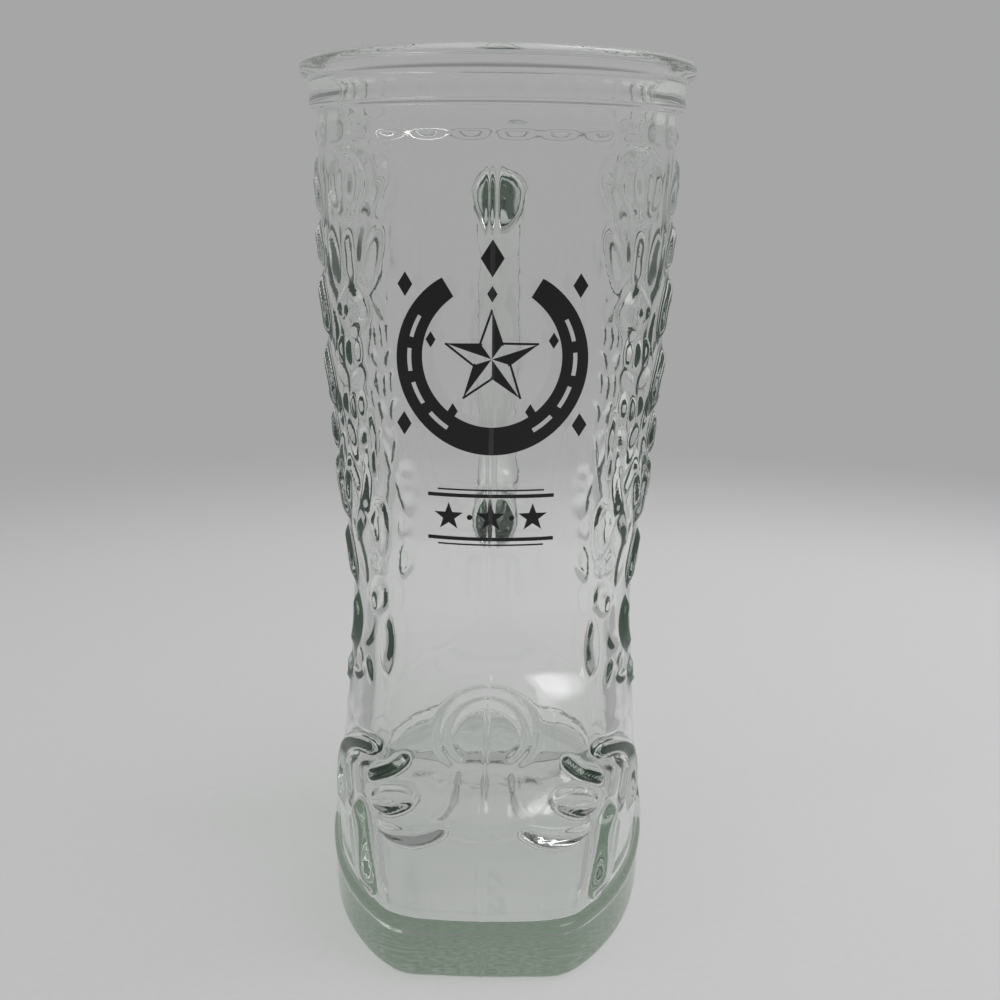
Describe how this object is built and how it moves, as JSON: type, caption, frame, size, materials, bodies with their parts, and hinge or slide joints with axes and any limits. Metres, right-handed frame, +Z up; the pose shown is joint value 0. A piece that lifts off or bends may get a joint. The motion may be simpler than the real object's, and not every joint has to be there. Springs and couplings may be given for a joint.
{
  "type": "boot-shaped glass mug",
  "caption": "Clear moulded glass mug in the shape of a cowboy boot, hollow into the toe, with a bar handle behind and a black printed front.",
  "frame": {"origin": "on the resting plane, under the middle of the overall box; the shaft's axis is 5 mm behind it", "axes": "+Z up through the mouth, -Y towards the toe, +Y towards the handle, +X to the side that lies at the right when the toe points at the viewer"},
  "size_m": [0.083, 0.158, 0.164],
  "materials": {
    "clear_glass": "clear moulded soda-lime glass, fire-polished",
    "base_glass": "the same glass where it is thick and looks green",
    "black_enamel": "fired black ceramic enamel, slightly glossy"
  },
  "bodies": {
    "root": {"rim_bead": "clear_glass", "collar_band": "clear_glass", "shaft_wall": "clear_glass", "stitch_row": "clear_glass", "shaft_relief_left": "clear_glass", "shaft_relief_right": "clear_glass", "foot_shell": "clear_glass", "toe_medallion": "clear_glass", "wing_tip": "clear_glass", "foot_scroll_left": "clear_glass", "foot_scroll_right": "clear_glass", "mould_seam": "clear_glass", "welt": "clear_glass", "welt_stitches": "clear_glass", "handle_upper_root": "clear_glass", "handle_upper_bend": "clear_glass", "handle_grip": "clear_glass", "handle_lower_bend": "clear_glass", "handle_lower_root": "clear_glass", "outsole": "base_glass", "shank": "base_glass", "heel_block": "base_glass", "printed_emblem": "black_enamel", "printed_band": "black_enamel"}
  },
  "joints": []
}
